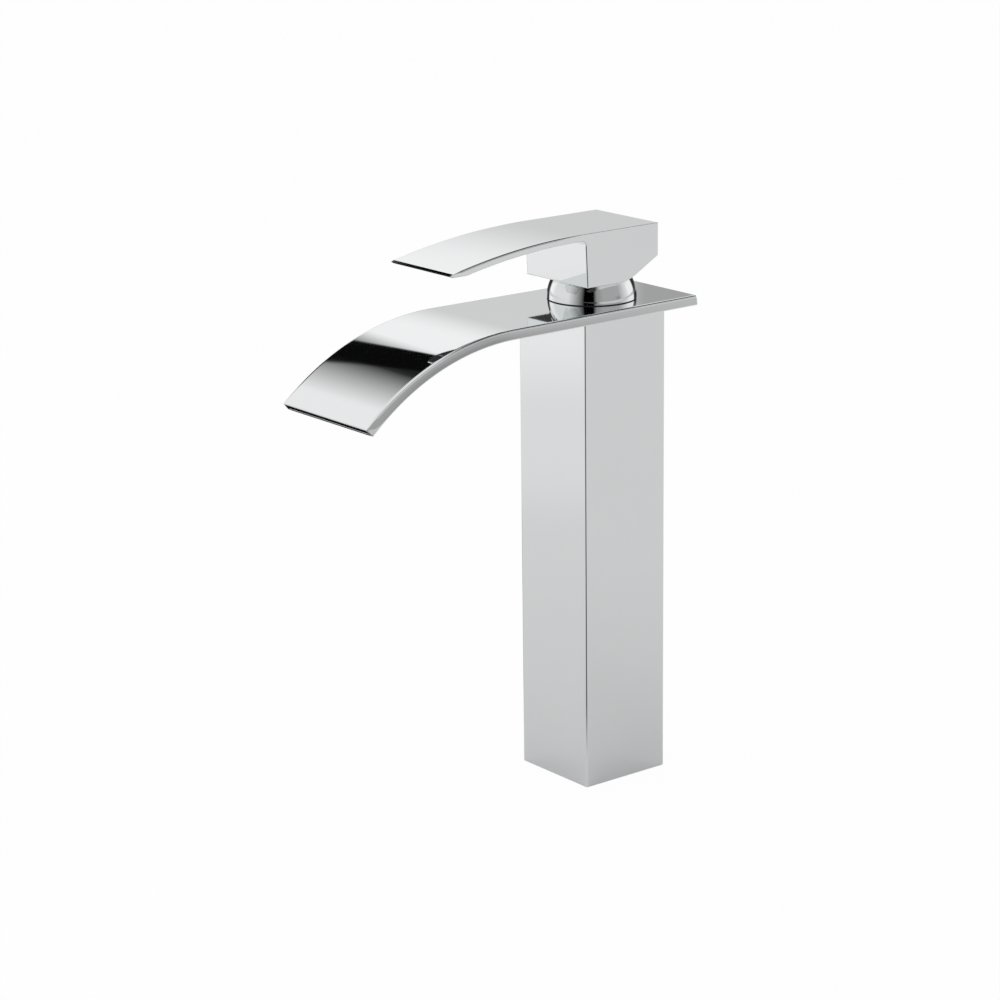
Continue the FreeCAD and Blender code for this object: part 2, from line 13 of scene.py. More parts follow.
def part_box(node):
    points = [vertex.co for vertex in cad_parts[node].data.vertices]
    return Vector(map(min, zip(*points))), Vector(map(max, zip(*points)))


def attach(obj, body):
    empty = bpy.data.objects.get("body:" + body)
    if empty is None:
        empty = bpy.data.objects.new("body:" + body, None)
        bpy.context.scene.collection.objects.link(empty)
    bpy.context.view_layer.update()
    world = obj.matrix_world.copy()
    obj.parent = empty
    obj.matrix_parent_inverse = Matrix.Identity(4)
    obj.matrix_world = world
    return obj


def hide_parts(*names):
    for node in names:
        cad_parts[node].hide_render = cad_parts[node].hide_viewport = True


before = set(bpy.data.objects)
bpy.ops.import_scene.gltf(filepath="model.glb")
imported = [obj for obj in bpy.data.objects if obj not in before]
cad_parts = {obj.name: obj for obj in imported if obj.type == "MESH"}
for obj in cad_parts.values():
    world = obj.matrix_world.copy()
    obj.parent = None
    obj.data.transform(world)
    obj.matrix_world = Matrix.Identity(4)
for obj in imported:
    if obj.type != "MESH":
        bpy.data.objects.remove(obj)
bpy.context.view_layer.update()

log = logging.getLogger("basin_mixer")

MM = 0.001
MERGE = 0.002 * MM  # points this close are one
PAST = 1.05  # a little more than a rounding's own reach
ALONG_X = Vector((1.0, 0.0, 0.0))
ALONG_Y = Vector((0.0, 1.0, 0.0))
ALONG_Z = Vector((0.0, 0.0, 1.0))

Point = tuple[float, float]
Place = tuple[float, float, float]
Colour = tuple[float, float, float]
Socket = bpy.types.NodeSocket
Source = Socket | float | Colour | Vector
Mesh = bmesh.types.BMesh
Face = bmesh.types.BMFace
Edge = bmesh.types.BMEdge
Vert = bmesh.types.BMVert
ByPlace = Callable[[float], float]


class Body(Enum):
    """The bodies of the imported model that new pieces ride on."""

    FIXED = "tap_body"
    LIFTING = "lever"


class Slot(Enum):
    """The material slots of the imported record."""

    CHROME = "chrome"
    BRASS = "brass"
    COPPER = "copper"
    RUBBER = "rubber"
    PALE_PLASTIC = "pale_plastic"
    DARK_PLASTIC = "dark_plastic"
    CERAMIC = "ceramic"
    STEEL = "steel"
    INDEX = "index_plug"


class NodeBoard:
    """A node tree, with short calls for the sums, blends and bearings used here."""

    def __init__(self, tree: bpy.types.NodeTree) -> None:
        """Works on a node tree."""
        self.tree = tree

    def give(self, socket: Socket, value: Source) -> None:
        """Links a socket, or sets it to a number, a vector, a colour or a grey."""
        if isinstance(value, Socket):
            self.tree.links.new(value, socket)
        elif socket.type == "RGBA":
            colour = value if isinstance(value, tuple) else (value, value, value)
            socket.default_value = (*colour, 1.0)
        else:
            socket.default_value = value

    def add(
        self, kind: str, inputs: dict[str | int, Source] | None = None, **settings: str
    ) -> bpy.types.Node:
        """Adds a node.

        Args:
            kind: Its type.
            inputs: What its inputs get, by name or by place.
            settings: Its own settings.

        Returns:
            The node.
        """
        node = self.tree.nodes.new(kind)
        for name, setting in settings.items():
            setattr(node, name, setting)
        for key, value in (inputs or {}).items():
            self.give(node.inputs[key], value)
        return node

    def reckoned(self, kind: str, *values: Source) -> Socket:
        """Works out a sum of one kind."""
        return self.add("ShaderNodeMath", dict(enumerate(values)), operation=kind).outputs[0]

    def step(self, value: Socket, low: float, high: float) -> Socket:
        """Makes a smooth step from 0 at one value to 1 at another."""
        ends = {"Value": value, "From Min": low, "From Max": high}
        node = self.add("ShaderNodeMapRange", ends, interpolation_type="SMOOTHSTEP")
        return node.outputs["Result"]

    def mixed(self, share: Source, first: Source, second: Source, kind: str = "MIX") -> Socket:
        """Lays a share of the second colour or grey over the first."""
        parts = {0: share, 6: first, 7: second}
        return self.add("ShaderNodeMix", parts, data_type="RGBA", blend_type=kind).outputs[2]

    def blended(self, share: Socket, first: Socket, second: Socket) -> Socket:
        """Blends a share of the second shader into the first."""
        return self.add("ShaderNodeMixShader", {0: share, 1: first, 2: second}).outputs[0]

    def axes(self, place: Socket) -> list[Socket]:
        """Splits a place or a direction into x, y and z."""
        return self.add("ShaderNodeSeparateXYZ", {0: place}).outputs[:]

    def along(self, place: Socket, middle: Vector, axis: Vector) -> Socket:
        """Works out how far a place is from a middle along an axis, never negative."""
        node = self.add("ShaderNodeVectorMath", {0: place, 1: axis}, operation="DOT_PRODUCT")
        away = self.reckoned("SUBTRACT", node.outputs["Value"], middle.dot(axis))
        return self.reckoned("ABSOLUTE", away)

    def turn(self, x: Socket, y: Socket) -> Socket:
        """Works out a direction's bearing as a share of a full turn, a half at the front."""
        bearing = self.reckoned("ARCTAN2", x, self.reckoned("MULTIPLY", y, -1.0))
        return self.reckoned("ADD", self.reckoned("DIVIDE", bearing, math.tau), 0.5)

    def ring(self, turn: Socket, stretches: list[tuple[float, float, float]]) -> Socket:
        """Adds a ring of wall stretches with soft changes between them.

        Args:
            turn: The bearing as a share of a full turn.
            stretches: Each stretch's start and end in degrees, and its brightness.

        Returns:
            The brightness.
        """
        node = self.add("ShaderNodeValToRGB", {"Fac": turn})
        stops = []
        for start, end, bright in stretches:
            stops += [((edge + 180.0) % 360.0 / 360.0, bright) for edge in (start, end)]
        stops.sort()
        elements = node.color_ramp.elements
        while len(elements) < len(stops):
            elements.new(0.5)
        for element, (place, bright) in zip(elements, stops):
            element.position = place
            element.color = (bright, bright, bright, 1.0)
        return node.outputs["Color"]


class ShaderBoard(NodeBoard):
    """A material's nodes, with short calls for the patterns used here."""

    def __init__(self, name: str) -> None:
        """Starts a node material."""
        self.material = bpy.data.materials.new(name)
        self.material.use_nodes = True
        super().__init__(self.material.node_tree)
        self.surface = self.tree.nodes["Principled BSDF"]
        self.place = self.add("ShaderNodeTexCoord").outputs["Object"]

    def noise(self, scale: float | Place, detail: float) -> Socket:
        """Makes a noise pattern from 0 to 1.

        Args:
            scale: How many patches it has per metre, or per metre along x, y and z.
            detail: How many finer layers it has.

        Returns:
            The noise.
        """
        each = scale if isinstance(scale, tuple) else (scale, scale, scale)
        place = self.add("ShaderNodeMapping", {"Vector": self.place, "Scale": each}).outputs[0]
        pattern = {"Vector": place, "Scale": 1.0, "Detail": detail}
        return self.add("ShaderNodeTexNoise", pattern).outputs["Fac"]

    def spread(self, pattern: Socket, low: float, high: float) -> Socket:
        """Stretches the middle of a pattern over a range."""
        ends = {"From Min": 0.3, "From Max": 0.7, "To Min": low, "To Max": high}
        return self.add("ShaderNodeMapRange", {"Value": pattern, **ends}).outputs["Result"]

    def feed(self, socket: str, source: Source) -> None:
        """Gives one of the surface's sockets its value or pattern."""
        self.give(self.surface.inputs[socket], source)

    def relief(self, height: Socket, depth: float, strength: float) -> None:
        """Gives the surface a fine relief of a depth in metres."""
        bump = {"Height": height, "Distance": depth, "Strength": strength}
        self.feed("Normal", self.add("ShaderNodeBump", bump).outputs["Normal"])

    def show(self, shader: Socket) -> None:
        """Shows a shader in place of the plain surface."""
        self.give(self.tree.nodes["Material Output"].inputs["Surface"], shader)


@dataclass(frozen=True)
class Finish:
    """A surface in two tones that vary in patches, with a fine grain over it."""

    name: str
    dark: Colour
    light: Colour
    roughness: Point
    metallic: float = 0.0
    patch_scale: float = 90.0
    patch_detail: float = 4.0
    grain_scale: float | Place = 2400.0
    grain_detail: float = 3.0
    grain_depth: float = 0.05 * MM
    grain_strength: float = 0.3
    patchy_shine: bool = False

    def material(self) -> bpy.types.Material:
        """Builds the material."""
        board = ShaderBoard(self.name)
        patches = board.noise(self.patch_scale, self.patch_detail)
        grain = board.noise(self.grain_scale, self.grain_detail)
        shine = patches if self.patchy_shine else grain
        board.feed("Metallic", self.metallic)
        board.feed("Base Color", board.mixed(patches, self.dark, self.light))
        board.feed("Roughness", board.spread(shine, *self.roughness))
        board.relief(grain, self.grain_depth, self.grain_strength)
        return board.material


@dataclass(frozen=True)
class IndexFinish:
    """Glossy plastic, one half for hot and one half for cold."""

    name: str = "index_plastic"
    hot: Colour = (0.55, 0.02, 0.02)
    cold: Colour = (0.02, 0.08, 0.5)
    roughness: Point = (0.22, 0.34)
    grain_scale: float = 1500.0

    def material(self) -> bpy.types.Material:
        """Builds the two-colour material."""
        board = ShaderBoard(self.name)
        half = board.reckoned("GREATER_THAN", board.axes(board.place)[0], 0.0)
        board.feed("Base Color", board.mixed(half, self.hot, self.cold))
        board.feed("Roughness", board.spread(board.noise(self.grain_scale, 3.0), *self.roughness))
        return board.material


BRASS = Finish(
    "machined_brass", (0.62, 0.45, 0.2), (0.82, 0.62, 0.3), (0.22, 0.42), metallic=1.0,
    patch_scale=60.0, patch_detail=5.0, grain_scale=(40.0, 40.0, 1600.0), grain_detail=2.0,
    grain_strength=0.35,
)

FINISHES = {
    Slot.CHROME: Finish(
        "polished_chrome", (0.865, 0.885, 0.89), (0.885, 0.9, 0.905), (0.02, 0.05), metallic=1.0,
        patch_scale=22.0, grain_scale=900.0, grain_detail=2.0, grain_depth=0.004 * MM,
        grain_strength=0.1, patchy_shine=True,
    ),
    Slot.BRASS: BRASS,
    Slot.COPPER: replace(
        BRASS, name="drawn_copper", dark=(0.62, 0.3, 0.19), light=(0.86, 0.47, 0.32),
        roughness=(0.2, 0.36), grain_scale=(1200.0, 1200.0, 20.0),
    ),
    Slot.STEEL: replace(
        BRASS, name="turned_steel", dark=(0.5, 0.5, 0.52), light=(0.66, 0.66, 0.67),
        roughness=(0.24, 0.4),
    ),
    Slot.RUBBER: Finish(
        "black_rubber", (0.012, 0.012, 0.013), (0.03, 0.03, 0.032), (0.6, 0.8)
    ),
    Slot.PALE_PLASTIC: Finish(
        "pale_plastic", (0.6, 0.59, 0.56), (0.72, 0.71, 0.68), (0.38, 0.52)
    ),
    Slot.DARK_PLASTIC: Finish(
        "dark_plastic", (0.035, 0.037, 0.042), (0.06, 0.062, 0.07), (0.4, 0.55)
    ),
    Slot.CERAMIC: Finish(
        "ground_ceramic", (0.74, 0.73, 0.7), (0.83, 0.82, 0.79), (0.12, 0.2),
        grain_depth=0.01 * MM,
    ),
    Slot.INDEX: IndexFinish(),
}


@cache
def finish_of(slot: Slot) -> bpy.types.Material:
    """Gives a slot's material, made on first use."""
    return FINISHES[slot].material()


class SideOutline:
    """An outline of y and z in a plane across x, drawn with lines and arcs."""

    def __init__(self, side: float, start: Point) -> None:
        """Puts the pen down, in the plane at one x."""
        self.mesh = bmesh.new()
        self.side = side
        self.first = self.mesh.verts.new((side, *start))
        self.tip = self.first

    def lines_to(self, *points: Point) -> None:
        """Draws straight lines from point to point."""
        for point in points:
            made = bmesh.ops.extrude_vert_indiv(self.mesh, verts=[self.tip])
            self.tip = made["verts"][0]
            self.tip.co = (self.side, *point)

    def arc(self, centre: Point, angle: float, steps: int) -> None:
        """Draws an arc, by an angle that is positive from the top towards the front."""
        made = bmesh.ops.spin(
            self.mesh, geom=[self.tip], cent=(self.side, *centre), axis=ALONG_X,
            angle=angle, steps=steps,
        )
        self.tip = next(item for item in made["geom_last"] if isinstance(item, Vert))

    def rounded_corner(self, corner: Point, after: Point, radius: float, steps: int) -> None:
        """Draws up to a sharp corner and round it, towards the point after it."""
        middle = Vector(corner)
        way_in = (Vector(self.tip.co.yz) - middle).normalized()
        way_out = (Vector(after) - middle).normalized()
        opening = way_in.angle(way_out)
        centre = middle + (way_in + way_out).normalized() * (radius / math.sin(opening / 2))
        turn = way_out.x * way_in.y - way_out.y * way_in.x
        self.lines_to(tuple(middle + way_in * (radius / math.tan(opening / 2))))
        self.arc(tuple(centre), math.copysign(math.pi - opening, turn), steps)

    def join_ends(self) -> None:
        """Closes the outline with a straight line."""
        self.mesh.edges.new((self.tip, self.first))

    def filled(self) -> Face:
        """Closes the outline and fills it with a face."""
        self.join_ends()
        return bmesh.ops.edgeloop_fill(self.mesh, edges=self.mesh.edges[:])["faces"][0]

    def turned(self, centre: Vector, axis: Vector, steps: int) -> Mesh:
        """Turns the outline full circle about a line through a centre."""
        mesh = self.mesh
        bmesh.ops.spin(
            mesh, geom=[*mesh.verts, *mesh.edges], cent=centre, axis=axis, angle=math.tau,
            steps=steps, use_merge=True,
        )
        faced_out(mesh)
        return mesh


def grown(mesh: Mesh, faces: list[Face], shift: Vector, inside: bool = False) -> list[Face]:
    """Extrudes faces as one region.

    Args:
        mesh: The mesh that they are in.
        faces: The faces.
        shift: How far the region moves.
        inside: True where the old faces would be left inside the solid.

    Returns:
        The moved faces.
    """
    made = bmesh.ops.extrude_face_region(mesh, geom=faces)["geom"]
    verts = [item for item in made if isinstance(item, Vert)]
    bmesh.ops.translate(mesh, vec=shift, verts=verts)
    if inside:
        bmesh.ops.delete(mesh, geom=faces, context="FACES")
    return [item for item in made if isinstance(item, Face)]


def faced_out(mesh: Mesh) -> None:
    """Merges doubles and points every face outwards, in place."""
    bmesh.ops.remove_doubles(mesh, verts=mesh.verts, dist=MERGE)
    bmesh.ops.recalc_face_normals(mesh, faces=mesh.faces)
    if mesh.calc_volume(signed=True) < 0.0:
        bmesh.ops.reverse_faces(mesh, faces=mesh.faces)


def swept(mesh: Mesh, faces: list[Face], centre: Vector, angle: float, steps: int) -> None:
    """Sweeps faces along an arc about a line across the spout, in place."""
    parts = {item for face in faces for item in (*face.verts, *face.edges)}
    bmesh.ops.spin(
        mesh, geom=[*parts, *faces], cent=centre, axis=ALONG_X, angle=angle, steps=steps
    )


def sharp_edges(mesh: Mesh, least: float = 0.5) -> list[Edge]:
    """Finds the edges where the surface turns by more than the least angle in radians."""
    mesh.normal_update()
    return [edge for edge in mesh.edges if edge.is_manifold and edge.calc_face_angle() > least]


def softened(
    mesh: Mesh, edges: list[Edge], width: float, segments: int = 3, clamped: bool = True
) -> None:
    """Rounds edges, in place.

    Args:
        mesh: The mesh that they are in.
        edges: The edges.
        width: How far the rounding reaches.
        segments: How many faces it has.
        clamped: True where the rounding may not pass the next edge.
    """
    bmesh.ops.bevel(
        mesh, geom=edges, offset=width, offset_type="OFFSET", segments=segments, profile=0.5,
        affect="EDGES", material=-1, clamp_overlap=clamped,
    )


@dataclass(frozen=True)
class ArchedTop:
    """A top face that runs flat over the column and then bends down to the front."""

    height: float
    flat_reach: float
    bend_radius: float

    def outward(self, place: Vector) -> tuple[Vector, float]:
        """Finds the way straight out of the top near a place, and the place's depth under it."""
        if place.y > -self.flat_reach:
            return ALONG_Z, self.height - place.z
        centre = Vector((place.x, -self.flat_reach, self.height - self.bend_radius))
        return (place - centre).normalized(), self.bend_radius - (place - centre).length

    def widen(self, mesh: Mesh, half: ByPlace, width: float, growth: ByPlace) -> None:
        """Widens the rounding of both long edges along their length, in place.

        Args:
            mesh: The mesh, with its edges already rounded.
            half: Gives half the width between the sharp edges at a y.
            width: How wide the rounding is so far.
            growth: Gives how many times wider it becomes at a y.
        """
        reach = PAST * width
        for vert in mesh.verts:
            side = half(vert.co.y) - abs(vert.co.x)
            way, depth = self.outward(vert.co)
            if side < reach and depth < reach:
                more = growth(vert.co.y) - 1.0
                vert.co -= way * depth * more
                vert.co.x -= math.copysign(side * more, vert.co.x)


def ramp(value: float, start: float, end: float) -> float:
    """A share from 0 at the start to 1 at the end."""
    return min(max((value - start) / (end - start), 0.0), 1.0)


def drum(radius: float, low: Vector, high: Vector, segments: int = 64) -> Mesh:
    """Makes a round bar between the middles of its two ends."""
    mesh = bmesh.new()
    line = high - low
    turn = ALONG_Z.rotation_difference(line).to_matrix().to_4x4()
    bmesh.ops.create_cone(
        mesh, cap_ends=True, segments=segments, radius1=radius, radius2=radius, depth=line.length,
        matrix=Matrix.Translation((low + high) / 2) @ turn,
    )
    return mesh


def block(low: Vector, high: Vector) -> Mesh:
    """Makes a block between its lowest and highest corners."""
    mesh = bmesh.new()
    bmesh.ops.create_cube(mesh, size=1.0)
    bmesh.ops.scale(mesh, vec=high - low, verts=mesh.verts)
    bmesh.ops.translate(mesh, vec=(low + high) / 2, verts=mesh.verts)
    return mesh


def ball(radius: float, centre: Vector, rings: int = 64) -> Mesh:
    """Makes a ball, in so many rings from pole to pole."""
    mesh = bmesh.new()
    bmesh.ops.create_uvsphere(
        mesh, u_segments=2 * rings, v_segments=rings, radius=radius,
        matrix=Matrix.Translation(centre),
    )
    return mesh


def as_object(name: str, mesh: Mesh) -> bpy.types.Object:
    """Puts a bmesh into the scene as an object at the origin, and frees it."""
    data = bpy.data.meshes.new(name)
    mesh.to_mesh(data)
    mesh.free()
    made = bpy.data.objects.new(name, data)
    bpy.context.scene.collection.objects.link(made)
    return made


def carved(mesh: Mesh, cutters: list[Mesh]) -> Mesh:
    """Cuts the cutters out of a mesh, and frees them all."""
    work = as_object("work", mesh)
    tools = [as_object("tool", cutter) for cutter in cutters]
    for tool in tools:
        cut = work.modifiers.new("cut", "BOOLEAN")
        cut.operation = "DIFFERENCE"
        cut.solver = "EXACT"
        cut.object = tool
    seen = work.evaluated_get(bpy.context.evaluated_depsgraph_get())
    data = bpy.data.meshes.new_from_object(seen)
    result = bmesh.new()
    result.from_mesh(data)
    bmesh.ops.remove_doubles(result, verts=result.verts, dist=MERGE)
    bmesh.ops.dissolve_degenerate(result, edges=result.edges, dist=MERGE)
    bpy.data.meshes.remove(data)
    for made in (work, *tools):
        bpy.data.meshes.remove(made.data)
    return result


@dataclass
class Piece:
    """How a finished mesh joins the model."""

    name: str
    body: Body
    slot: Slot
    nodes: tuple[str, ...]
    smooth_angle: float = 35.0

    def make(self, mesh: Mesh) -> None:
        """Turns a bmesh, which is freed, into a dressed piece that rides on its body."""
        for face in mesh.faces:
            face.smooth = True
        piece = as_object(self.name, mesh)
        piece.data.set_sharp_from_angle(angle=math.radians(self.smooth_angle))
        piece.data.materials.append(finish_of(self.slot))
        shading = piece.modifiers.new("even_shading", "WEIGHTED_NORMAL")
        shading.keep_sharp = True
        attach(piece, self.body.value)
        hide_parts(*self.nodes)
        log.info("%s: %d faces on %s", self.name, len(piece.data.polygons), self.body.value)


@dataclass
class Column:
    """The square tube that stands on the deck."""

    wall: float = 3.0 * MM
    edge_radius: float = 0.9 * MM
    rim_radius: float = 0.25 * MM
    edge_segments: int = 5

    def mesh(self) -> Mesh:
        """Builds the tube."""
        mesh = block(*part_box("column"))
        uprights = [
            edge for edge in mesh.edges
            if abs((edge.verts[0].co - edge.verts[1].co).normalized().z) > 0.5
        ]
        softened(mesh, uprights, self.edge_radius, self.edge_segments)
        mesh.normal_update()
        ends = [face for face in mesh.faces if abs(face.normal.z) > 0.5]
        rims = {edge for face in ends for edge in face.edges}
        softened(mesh, list(rims), self.rim_radius, 2)
        mesh.normal_update()
        ends = [face for face in mesh.faces if abs(face.normal.z) > 0.999]
        bmesh.ops.inset_individual(mesh, faces=ends, thickness=self.wall)
        mouths = list({edge for face in ends for edge in face.edges})
        bmesh.ops.delete(mesh, geom=ends, context="FACES_ONLY")
        bmesh.ops.bridge_loops(mesh, edges=mouths)
        faced_out(mesh)
        return mesh

    def build(self) -> None:
        """Builds and dresses the column."""
        Piece("column_tube", Body.FIXED, Slot.CHROME, ("column",)).make(self.mesh())


@dataclass
class Spout:
    """The flat plate over the column that arches down to a wide lip."""

    thickness: float = 4.7 * MM
    skin: float = 1.4 * MM
    side_wall: float = 2.5 * MM
    side_draft: float = 0.8 * MM
    solder_gap: float = 0.05 * MM
    back_width: float = 62.2 * MM
    flat_reach: float = 72.8 * MM
    chamber_start: float = 24.0 * MM
    bend_radius: float = 127.4 * MM
    bend_angle: float = math.radians(42.3)
    bend_steps: int = 84
    cup_hole_radius: float = 20.0 * MM
    edge_radius: float = 0.45 * MM
    edge_growth: float = 2.4
    lip_ease: float = 6.0 * MM

    def __post_init__(self) -> None:
        """Takes the outer sizes from the frame."""
        low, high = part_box("spout_shell")
        self.top = high.z
        self.bottom = high.z - self.thickness
        self.back = high.y
        self.lip = low.y
        self.lip_half = high.x
        self.bend_centre = Vector((0.0, -self.flat_reach, high.z - self.bend_radius))

    def half_width(self, y: float) -> float:
        """Half the plate's width at a y."""
        share = (self.back - y) / (self.back - self.lip)
        return self.back_width / 2 + (self.lip_half - self.back_width / 2) * share

    def top_half_width(self, y: float) -> float:
        """Half the width of the plate's top at a y."""
        return self.half_width(y) - self.side_draft

    def rounding_growth(self, y: float) -> float:
        """How much wider the long edges' rounding is at a y."""
        share = ramp(y, self.lip + self.lip_ease / 4, self.lip + self.lip_ease)
        return 1.0 + (self.edge_growth - 1.0) * share

    def tapered(self, mesh: Mesh) -> None:
        """Moves both sides in towards the narrow back, in place."""
        for vert in mesh.verts:
            vert.co.x -= math.copysign(self.lip_half - self.half_width(vert.co.y), vert.co.x)

    def section(self, half: float, lean: float, y: float, low: float, high: float) -> Mesh:
        """Starts a mesh with one upright face across the spout.

        Args:
            half: Half its width at the foot.
            lean: How much narrower each side is at the top.
            y: Where it stands.
            low: Its lower z.
            high: Its upper z.

        Returns:
            The mesh with that face.
        """
        mesh = bmesh.new()
        corners = ((-half, low), (half, low), (half - lean, high), (lean - half, high))
        mesh.faces.new([mesh.verts.new((x, y, z)) for x, z in corners])
        return mesh

    def cover_mesh(self) -> Mesh:
        """Builds the top with its side walls, hollow over the chamber."""
        mesh = self.section(self.lip_half, self.side_draft, self.back, self.bottom, self.top)
        chamber_top = self.top - self.skin
        chamber_half = self.lip_half - self.side_wall
        cuts = (
            ((0.0, 0.0, chamber_top), ALONG_Z),
            ((chamber_half, 0.0, 0.0), ALONG_X),
            ((-chamber_half, 0.0, 0.0), ALONG_X),
        )
        for place, normal in cuts:
            parts = [*mesh.verts, *mesh.edges, *mesh.faces]
            bmesh.ops.bisect_plane(mesh, geom=parts, plane_co=place, plane_no=normal)
        front = grown(mesh, mesh.faces[:], -ALONG_Y * (self.back + self.chamber_start))
        shell = []
        for face in front:
            middle = face.calc_center_median()
            if abs(middle.x) > chamber_half or middle.z > chamber_top:
                shell.append(face)
        shell = grown(mesh, shell, -ALONG_Y * (self.flat_reach - self.chamber_start), inside=True)
        swept(mesh, shell, self.bend_centre, self.bend_angle, self.bend_steps)
        faced_out(mesh)
        self.tapered(mesh)
        softened(mesh, self.outer_edges(mesh), self.edge_radius, 5)
        arch = ArchedTop(self.top, self.flat_reach, self.bend_radius)
        arch.widen(mesh, self.top_half_width, self.edge_radius, self.rounding_growth)
        below, above = (ALONG_Z * z for z in (self.bottom - self.skin, self.top + self.skin))
        hole = drum(self.cup_hole_radius, below, above, 128)
        return carved(mesh, [hole])

    def outer_edges(self, mesh: Mesh) -> list[Edge]:
        """Finds the sharp edges of the cover's outside, without those of the chamber."""
        found = []
        for edge in sharp_edges(mesh):
            middle = (edge.verts[0].co + edge.verts[1].co) / 2
            at_side = abs(middle.x) > self.half_width(middle.y) - self.side_wall / 2
            at_back = middle.y > self.back - self.skin
            radius = (middle - self.bend_centre).yz.length
            at_lip = abs(radius - self.bend_radius) < self.skin / 4
            if at_side or at_back or at_lip:
                found.append(edge)
        return found

    def underside_mesh(self) -> Mesh:
        """Builds the plate that closes the chamber from below."""
        half = self.lip_half - self.side_wall - self.solder_gap
        start = -self.chamber_start - self.solder_gap
        mesh = self.section(half, 0.0, start, self.bottom, self.bottom + self.skin)
        plate = grown(mesh, mesh.faces[:], -ALONG_Y * (self.flat_reach + start))
        swept(mesh, plate, self.bend_centre, self.bend_angle, self.bend_steps)
        faced_out(mesh)
        self.tapered(mesh)
        softened(mesh, sharp_edges(mesh), self.edge_radius / 3, 2)
        return mesh

    def build(self) -> None:
        """Builds and dresses the spout's two plates."""
        cover = Piece("spout_cover", Body.FIXED, Slot.CHROME, ("spout_shell",))
        cover.make(self.cover_mesh())
        underside = Piece("spout_underside", Body.FIXED, Slot.CHROME, ("spout_floor",))
        underside.make(self.underside_mesh())


@dataclass
class Dome:
    """The round collar that the handle turns on."""

    wall: float = 1.5 * MM
    crown_radius: float = 12.0 * MM
    skirt_wall: float = 1.95 * MM
    skirt_height: float = 2.5 * MM
    seal_height: float = 0.42 * MM
    seal_seat: float = 1.5 * MM
    seal_inset: float = 0.2 * MM
    seal_gap: float = 0.02 * MM
    bend_steps: int = 48
    turn_steps: int = 192

    def __post_init__(self) -> None:
        """Takes the dome's radius and foot from the frame."""
        low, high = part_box("dome_cover")
        self.outer, self.base = high.x, low.z

    def turned(self, section: SideOutline) -> Mesh:
        """Closes a section and turns it about the column's line."""
        section.join_ends()
        return section.turned(ALONG_Z * self.base, ALONG_Z, self.turn_steps)

    def dome_mesh(self) -> Mesh:
        """Builds the dome, open at its crown and stepped at its foot for the seal."""
        outer, base = self.outer, self.base
        inner = outer - self.wall
        bore = outer - self.skirt_wall
        seat = outer - self.seal_seat
        foot_turn = math.asin(self.seal_height / outer)
        outer_turn = math.acos(self.crown_radius / outer) - foot_turn
        inner_turn = math.acos(self.crown_radius / inner) - math.asin(self.skirt_height / inner)
        centre = (0.0, base)
        section = SideOutline(0.0, (-seat, base))
        step = base + self.seal_height
        section.lines_to((-seat, step), (-outer * math.cos(foot_turn), step))
        section.arc(centre, -outer_turn, self.bend_steps)
        section.lines_to((-self.crown_radius, base + math.sqrt(inner**2 - self.crown_radius**2)))
        section.arc(centre, inner_turn, self.bend_steps)
        section.lines_to((-bore, base + self.skirt_height), (-bore, base))
        return self.turned(section)

    def seal_mesh(self) -> Mesh:
        """Builds the seal that shows as a thin line under the dome."""
        inside = self.seal_gap + self.outer - self.seal_seat
        outside = self.outer - self.seal_inset
        top = self.base + self.seal_height - self.seal_gap
        section = SideOutline(0.0, (-inside, self.base))
        section.lines_to((-inside, top))
        section.rounded_corner((-outside, top), (-outside, self.base), self.seal_height / 4, 4)
        section.lines_to((-outside, self.base))
        return self.turned(section)

    def build(self) -> None:
        """Builds and dresses the dome and its seal."""
        shell = Piece("dome_shell", Body.FIXED, Slot.CHROME, ("dome_cover",))
        shell.make(self.dome_mesh())
        seal = Piece("dome_seal_ring", Body.FIXED, Slot.RUBBER, ("dome_seal",))
        seal.make(self.seal_mesh())


